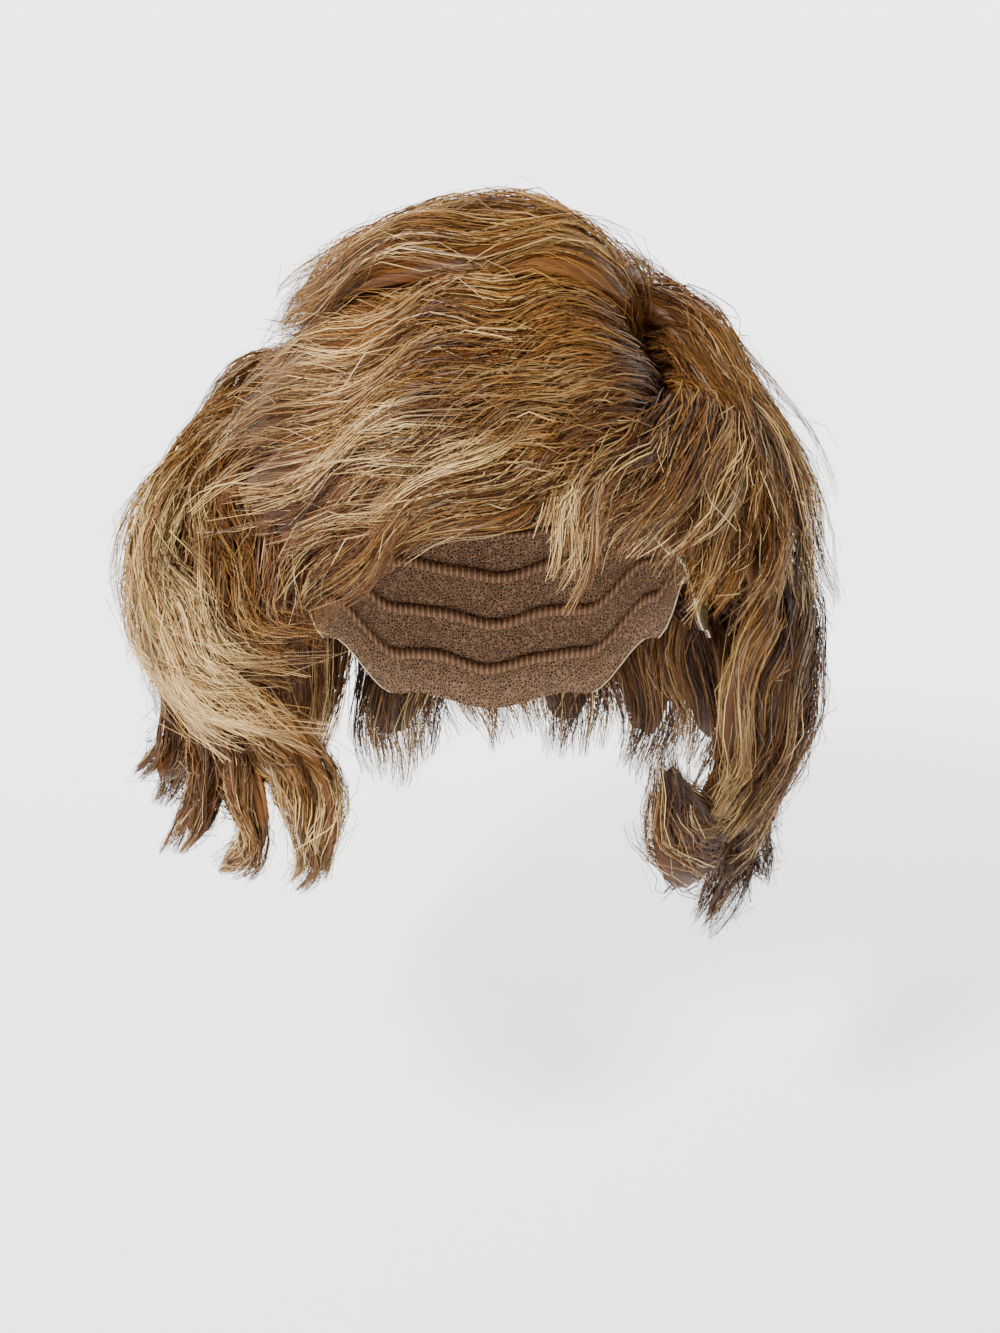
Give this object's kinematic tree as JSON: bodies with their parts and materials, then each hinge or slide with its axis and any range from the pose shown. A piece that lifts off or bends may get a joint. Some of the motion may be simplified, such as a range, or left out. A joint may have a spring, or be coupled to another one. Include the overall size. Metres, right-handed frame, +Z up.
{
  "type": "short wig",
  "caption": "Short layered wavy wig with a low side parting, swept fringe, curled sides and flicked ends, sewn on a net cap that fits over a head",
  "frame": {"origin": "Inside of the cap at the crown, where it sits on the top of a head", "axes": "+Z up, the face looks along -Y, +X is the wearer's left"},
  "size_m": [0.236, 0.2546, 0.2509],
  "materials": {
    "cap_net": "thin elastic net, matt, with machine-sewn weft rows",
    "edge_tape": "pale woven ribbon, matt",
    "hair_mid": "fine synthetic fibre, strawberry brown with blonde streaks, silky",
    "hair_light": "fine synthetic fibre, pale blonde over light brown, silky",
    "hair_dark": "fine synthetic fibre, red brown with dark roots, silky"
  },
  "bodies": {
    "root": {"cap": "cap_net", "edge_tape": "edge_tape", "crown_hair": "hair_mid", "sweep_hair": "hair_mid", "fringe_hair": "hair_mid", "right_side_hair": "hair_light", "right_lower_hair": "hair_light", "left_side_hair": "hair_mid", "left_lower_hair": "hair_dark", "back_hair": "hair_mid", "nape_hair": "hair_dark"}
  },
  "joints": []
}
